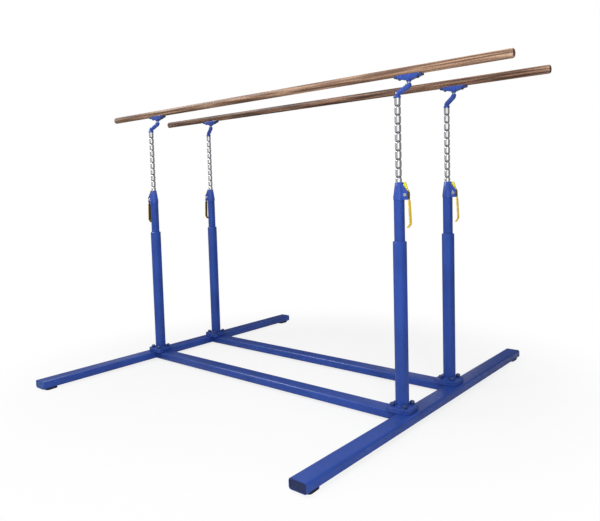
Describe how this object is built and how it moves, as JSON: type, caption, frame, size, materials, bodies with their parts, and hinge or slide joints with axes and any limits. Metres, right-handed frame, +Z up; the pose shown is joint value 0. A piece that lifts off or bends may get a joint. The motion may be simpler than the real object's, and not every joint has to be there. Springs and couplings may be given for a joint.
{
  "type": "gymnastics parallel bars",
  "caption": "Free-standing parallel bars with oval wooden rails on ring-grooved telescopic posts, squeeze-lever height locks and swan-neck width arms.",
  "frame": {"origin": "on the floor under the middle of the rails", "axes": "+X along the rails, +Y across them to the far rail, +Z up"},
  "size_m": [3.5, 2.635, 2.0455],
  "materials": {
    "blue": "satin powder coat",
    "yellow": "satin powder coat",
    "wood": "fine sanded laminated wood",
    "chrome": "hard chrome",
    "zinc": "zinc plated",
    "rubber": "matt",
    "nylon": "matt moulded"
  },
  "bodies": {
    "base_frame": {"crossbeam_left": "blue", "crossbeam_right": "blue", "long_beam_near": "blue", "long_beam_far": "blue", "beam_plug_near_left": "nylon", "rubber_foot_near_left": "rubber", "beam_plug_near_right": "nylon", "rubber_foot_near_right": "rubber", "beam_plug_far_left": "nylon", "rubber_foot_far_left": "rubber", "beam_plug_far_right": "nylon", "rubber_foot_far_right": "rubber", "lower_tube_near_left": "blue", "upper_tube_near_left": "blue", "lock_head_near_left": "blue", "guide_bush_near_left": "nylon", "pivot_bolt_near_left": "zinc", "return_spring_near_left": "zinc", "lower_tube_near_right": "blue", "upper_tube_near_right": "blue", "lock_head_near_right": "blue", "guide_bush_near_right": "nylon", "pivot_bolt_near_right": "zinc", "return_spring_near_right": "zinc", "lower_tube_far_left": "blue", "upper_tube_far_left": "blue", "lock_head_far_left": "blue", "guide_bush_far_left": "nylon", "pivot_bolt_far_left": "zinc", "return_spring_far_left": "zinc", "lower_tube_far_right": "blue", "upper_tube_far_right": "blue", "lock_head_far_right": "blue", "guide_bush_far_right": "nylon", "pivot_bolt_far_right": "zinc", "return_spring_far_right": "zinc"},
    "post_assembly_near_left": {"post_near_left": "chrome", "slide_foot_near_left": "nylon"},
    "arm_near_left_body": {"arm_near_left": "blue"},
    "saddle_near_left_body": {"saddle_near_left": "blue", "rail_near": "wood"},
    "lever_near_left_body": {"lever_near_left": "yellow"},
    "post_assembly_near_right": {"post_near_right": "chrome", "slide_foot_near_right": "nylon"},
    "arm_near_right_body": {"arm_near_right": "blue"},
    "saddle_near_right_body": {"saddle_near_right": "blue"},
    "lever_near_right_body": {"lever_near_right": "yellow"},
    "post_assembly_far_left": {"post_far_left": "chrome", "slide_foot_far_left": "nylon"},
    "arm_far_left_body": {"arm_far_left": "blue"},
    "saddle_far_left_body": {"saddle_far_left": "blue", "rail_far": "wood"},
    "lever_far_left_body": {"lever_far_left": "yellow"},
    "post_assembly_far_right": {"post_far_right": "chrome", "slide_foot_far_right": "nylon"},
    "arm_far_right_body": {"arm_far_right": "blue"},
    "saddle_far_right_body": {"saddle_far_right": "blue"},
    "lever_far_right_body": {"lever_far_right": "yellow"}
  },
  "joints": [
    {"name": "height_near_left", "type": "slide", "parent": "base_frame", "child": "post_assembly_near_left", "axis": [0, 0, 1], "range_m": [-0.4, 0.05]},
    {"name": "swing_near_left", "type": "hinge", "parent": "post_assembly_near_left", "child": "arm_near_left_body", "pos_m": [-1.21568, -0.307, 1.8755], "axis": [0, 0, 1], "range_deg": [-49, 49]},
    {"name": "saddle_turn_near_left", "type": "hinge", "parent": "arm_near_left_body", "child": "saddle_near_left_body", "pos_m": [-1.155, -0.28371, 1.9619], "axis": [0, 0, 1], "range_deg": [-49, 49]},
    {"name": "lever_squeeze_near_left", "type": "hinge", "parent": "base_frame", "child": "lever_near_left_body", "pos_m": [-1.26208, -0.307, 1.328], "axis": [0, -1, 0], "range_deg": [-3, 5], "stiffness_Nm_per_rad": 0.5, "springref_deg": -17.19},
    {"name": "height_near_right", "type": "slide", "parent": "base_frame", "child": "post_assembly_near_right", "axis": [0, 0, 1], "range_m": [-0.4, 0.05]},
    {"name": "swing_near_right", "type": "hinge", "parent": "post_assembly_near_right", "child": "arm_near_right_body", "pos_m": [1.09432, -0.307, 1.8755], "axis": [0, 0, 1], "range_deg": [-49, 49]},
    {"name": "saddle_turn_near_right", "type": "hinge", "parent": "arm_near_right_body", "child": "saddle_near_right_body", "pos_m": [1.155, -0.28371, 1.9619], "axis": [0, 0, 1], "range_deg": [-49, 49]},
    {"name": "lever_squeeze_near_right", "type": "hinge", "parent": "base_frame", "child": "lever_near_right_body", "pos_m": [1.14072, -0.307, 1.328], "axis": [0, 1, 0], "range_deg": [-3, 5], "stiffness_Nm_per_rad": 0.5, "springref_deg": -17.19},
    {"name": "height_far_left", "type": "slide", "parent": "base_frame", "child": "post_assembly_far_left", "axis": [0, 0, 1], "range_m": [-0.4, 0.05]},
    {"name": "swing_far_left", "type": "hinge", "parent": "post_assembly_far_left", "child": "arm_far_left_body", "pos_m": [-1.21568, 0.307, 1.8755], "axis": [0, 0, -1], "range_deg": [-49, 49]},
    {"name": "saddle_turn_far_left", "type": "hinge", "parent": "arm_far_left_body", "child": "saddle_far_left_body", "pos_m": [-1.155, 0.28371, 1.9619], "axis": [0, 0, -1], "range_deg": [-49, 49]},
    {"name": "lever_squeeze_far_left", "type": "hinge", "parent": "base_frame", "child": "lever_far_left_body", "pos_m": [-1.26208, 0.307, 1.328], "axis": [0, -1, 0], "range_deg": [-3, 5], "stiffness_Nm_per_rad": 0.5, "springref_deg": -17.19},
    {"name": "height_far_right", "type": "slide", "parent": "base_frame", "child": "post_assembly_far_right", "axis": [0, 0, 1], "range_m": [-0.4, 0.05]},
    {"name": "swing_far_right", "type": "hinge", "parent": "post_assembly_far_right", "child": "arm_far_right_body", "pos_m": [1.09432, 0.307, 1.8755], "axis": [0, 0, -1], "range_deg": [-49, 49]},
    {"name": "saddle_turn_far_right", "type": "hinge", "parent": "arm_far_right_body", "child": "saddle_far_right_body", "pos_m": [1.155, 0.28371, 1.9619], "axis": [0, 0, -1], "range_deg": [-49, 49]},
    {"name": "lever_squeeze_far_right", "type": "hinge", "parent": "base_frame", "child": "lever_far_right_body", "pos_m": [1.14072, 0.307, 1.328], "axis": [0, 1, 0], "range_deg": [-3, 5], "stiffness_Nm_per_rad": 0.5, "springref_deg": -17.19}
  ],
  "couplings": [
    {"joint": "height_near_right", "follows": "height_near_left", "ratio": 1},
    {"joint": "swing_near_right", "follows": "swing_near_left", "ratio": 1},
    {"joint": "saddle_turn_near_left", "follows": "swing_near_left", "ratio": -1},
    {"joint": "saddle_turn_near_right", "follows": "swing_near_left", "ratio": -1},
    {"joint": "height_far_right", "follows": "height_far_left", "ratio": 1},
    {"joint": "swing_far_right", "follows": "swing_far_left", "ratio": 1},
    {"joint": "saddle_turn_far_left", "follows": "swing_far_left", "ratio": -1},
    {"joint": "saddle_turn_far_right", "follows": "swing_far_left", "ratio": -1}
  ]
}
